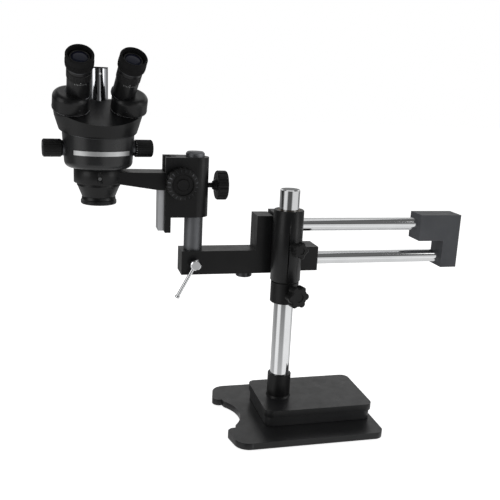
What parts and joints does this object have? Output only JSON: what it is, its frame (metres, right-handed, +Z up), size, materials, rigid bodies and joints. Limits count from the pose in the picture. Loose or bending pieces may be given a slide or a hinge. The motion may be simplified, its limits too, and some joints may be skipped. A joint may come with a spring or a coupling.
{
  "type": "stereo microscope on double-arm boom stand",
  "caption": "Trinocular zoom stereo microscope on a rack focus drive, carried by a sliding double-rod boom on a heavy fishtail base",
  "frame": {"origin": "Point on the table directly below the pillar's axis", "axes": "+X runs along the boom rods towards the end cap, +Y away from the operator, +Z up"},
  "size_m": [0.7068, 0.2175, 0.5995],
  "materials": {
    "cast_iron_paint": "semi-gloss black enamel on cast iron",
    "casting_paint": "satin black enamel on cast aluminium",
    "cap_paint": "satin dark grey enamel on cast aluminium",
    "chrome": "mirror",
    "satin_steel": "satin",
    "machined_aluminium": "machined satin",
    "head_paint": "satin black paint on cast aluminium",
    "knob_plastic": "moulded matte black",
    "washer_plastic": "natural nylon",
    "rubber": "matte black",
    "bronze": "sintered bronze",
    "dark_steel": "black oxide",
    "lens_glass": "coated",
    "plate_metal": "fine satin"
  },
  "bodies": {
    "stand": {"base_plate": "cast_iron_paint", "base_feet": "rubber", "weight_lower": "cast_iron_paint", "weight_upper": "cast_iron_paint", "base_screws": "dark_steel", "pillar_socket": "casting_paint", "socket_screw": "dark_steel", "pillar": "chrome", "pillar_bolt": "dark_steel"},
    "collar": {"safety_collar": "casting_paint", "thrust_washer": "washer_plastic"},
    "collar_lock": {"collar_knob": "knob_plastic"},
    "hub": {"hub_casting": "casting_paint", "hub_bushes": "bronze", "rod_bushes": "bronze"},
    "swivel_lock": {"swivel_knob": "knob_plastic"},
    "arm_lock": {"arm_lock_knob": "knob_plastic"},
    "boom": {"rod_upper": "chrome", "rod_lower": "chrome", "front_bracket": "casting_paint", "end_cap": "cap_paint", "boom_screws": "dark_steel", "bracket_nut": "dark_steel"},
    "clamp": {"clamp_screw": "chrome", "clamp_lever": "chrome"},
    "post": {"post": "satin_steel"},
    "focus": {"focus_body": "casting_paint", "guide_rails": "casting_paint", "rail_screws": "dark_steel"},
    "post_lock": {"post_lock_knob": "knob_plastic"},
    "slide": {"focus_slide": "machined_aluminium", "focus_rack": "bronze", "ring_arm": "casting_paint", "arm_screws": "dark_steel", "ring_screw": "chrome"},
    "pinion_set": {"pinion": "satin_steel", "focus_knob_front": "knob_plastic", "focus_knob_rear": "knob_plastic"},
    "head": {"head_body": "head_paint", "head_nose": "head_paint", "objective_ring": "head_paint", "objective_lens": "lens_glass", "head_top": "head_paint", "name_plate": "plate_metal", "photo_tube": "machined_aluminium", "photo_screw": "chrome"},
    "photo_plug": {"photo_cap": "knob_plastic"},
    "zoom": {"zoom_shaft": "satin_steel", "zoom_knobs": "knob_plastic"},
    "prism_left": {"prism_housing_left": "head_paint", "eye_tube_left": "head_paint"},
    "dioptre_left": {"dioptre_ring_left": "knob_plastic"},
    "ocular_left": {"eyepiece_left": "head_paint", "eyecup_left": "rubber"},
    "prism_right": {"prism_housing_right": "head_paint", "eye_tube_right": "head_paint"},
    "dioptre_right": {"dioptre_ring_right": "knob_plastic"},
    "ocular_right": {"eyepiece_right": "head_paint", "eyecup_right": "rubber"}
  },
  "joints": [
    {"name": "collar_height", "type": "slide", "parent": "stand", "child": "collar", "axis": [0, 0, 1], "range_m": [-0.12, 0.03]},
    {"name": "collar_lock_turn", "type": "hinge", "parent": "collar", "child": "collar_lock", "pos_m": [0, 0, 0.228], "axis": [0.2419, -0.9703, 0], "range_deg": [0, 270]},
    {"name": "hub_swivel", "type": "hinge", "parent": "collar", "child": "hub", "pos_m": [0, 0, 0.304], "axis": [0, 0, 1], "continuous": true},
    {"name": "swivel_lock_turn", "type": "hinge", "parent": "hub", "child": "swivel_lock", "pos_m": [0, 0, 0.304], "axis": [0.2419, -0.9703, 0], "range_deg": [0, 270]},
    {"name": "arm_lock_turn", "type": "hinge", "parent": "hub", "child": "arm_lock", "pos_m": [0.043, 0.066, 0.271], "axis": [0, 1, 0], "range_deg": [0, 270]},
    {"name": "boom_reach", "type": "slide", "parent": "hub", "child": "boom", "axis": [1, 0, 0], "range_m": [-0.22, 0]},
    {"name": "clamp_turn", "type": "hinge", "parent": "boom", "child": "clamp", "pos_m": [-0.147, 0.015, 0.27], "axis": [0, -1, 0], "range_deg": [0, 150]},
    {"name": "post_swivel", "type": "hinge", "parent": "boom", "child": "post", "pos_m": [-0.147, 0.044, 0.27], "axis": [0, 0, 1], "range_deg": [-100, 100]},
    {"name": "focus_height", "type": "slide", "parent": "post", "child": "focus", "axis": [0, 0, 1], "range_m": [-0.035, 0.02]},
    {"name": "post_lock_turn", "type": "hinge", "parent": "focus", "child": "post_lock", "pos_m": [-0.147, 0.044, 0.3945], "axis": [1, 0, 0], "range_deg": [0, 270]},
    {"name": "focus_travel", "type": "slide", "parent": "focus", "child": "slide", "axis": [0, 0, 1], "range_m": [-0.02, 0.035]},
    {"name": "pinion_turn", "type": "hinge", "parent": "focus", "child": "pinion_set", "pos_m": [-0.1725, 0.044, 0.401], "axis": [0, 1, 0], "range_deg": [-175, 305]},
    {"name": "head_turn", "type": "hinge", "parent": "slide", "child": "head", "pos_m": [-0.297, 0.044, 0.41], "axis": [0, 0, 1], "continuous": true},
    {"name": "photo_cap_lift", "type": "slide", "parent": "head", "child": "photo_plug", "axis": [0, 0, 1], "range_m": [0, 0.02]},
    {"name": "zoom_turn", "type": "hinge", "parent": "head", "child": "zoom", "pos_m": [-0.297, 0.044, 0.45], "axis": [0.9925, 0.1219, 0], "range_deg": [-90, 90]},
    {"name": "prism_right_swing", "type": "hinge", "parent": "head", "child": "prism_right", "pos_m": [-0.26552, 0.03376, 0.51], "axis": [0.0515, -0.4195, 0.9063], "range_deg": [-28, 2]},
    {"name": "dioptre_right_turn", "type": "hinge", "parent": "prism_right", "child": "dioptre_right", "pos_m": [-0.25618, 0.00095, 0.55876], "axis": [0.1476, -0.655, 0.741], "range_deg": [-90, 90]},
    {"name": "ocular_right_pull", "type": "slide", "parent": "prism_right", "child": "ocular_right", "axis": [0.1476, -0.655, 0.741], "range_m": [0, 0.028]},
    {"name": "prism_left_swing", "type": "hinge", "parent": "head", "child": "prism_left", "pos_m": [-0.32507, 0.02645, 0.51], "axis": [0.0515, -0.4195, 0.9063], "range_deg": [-2, 28]},
    {"name": "dioptre_left_turn", "type": "hinge", "parent": "prism_left", "child": "dioptre_left", "pos_m": [-0.32619, -0.00765, 0.55876], "axis": [0.0152, -0.6713, 0.741], "range_deg": [-90, 90]},
    {"name": "ocular_left_pull", "type": "slide", "parent": "prism_left", "child": "ocular_left", "axis": [0.0152, -0.6713, 0.741], "range_m": [0, 0.028]}
  ],
  "couplings": [
    {"joint": "pinion_turn", "follows": "focus_travel", "rad_per_m": 148.15},
    {"joint": "prism_left_swing", "follows": "prism_right_swing", "ratio": -1}
  ]
}
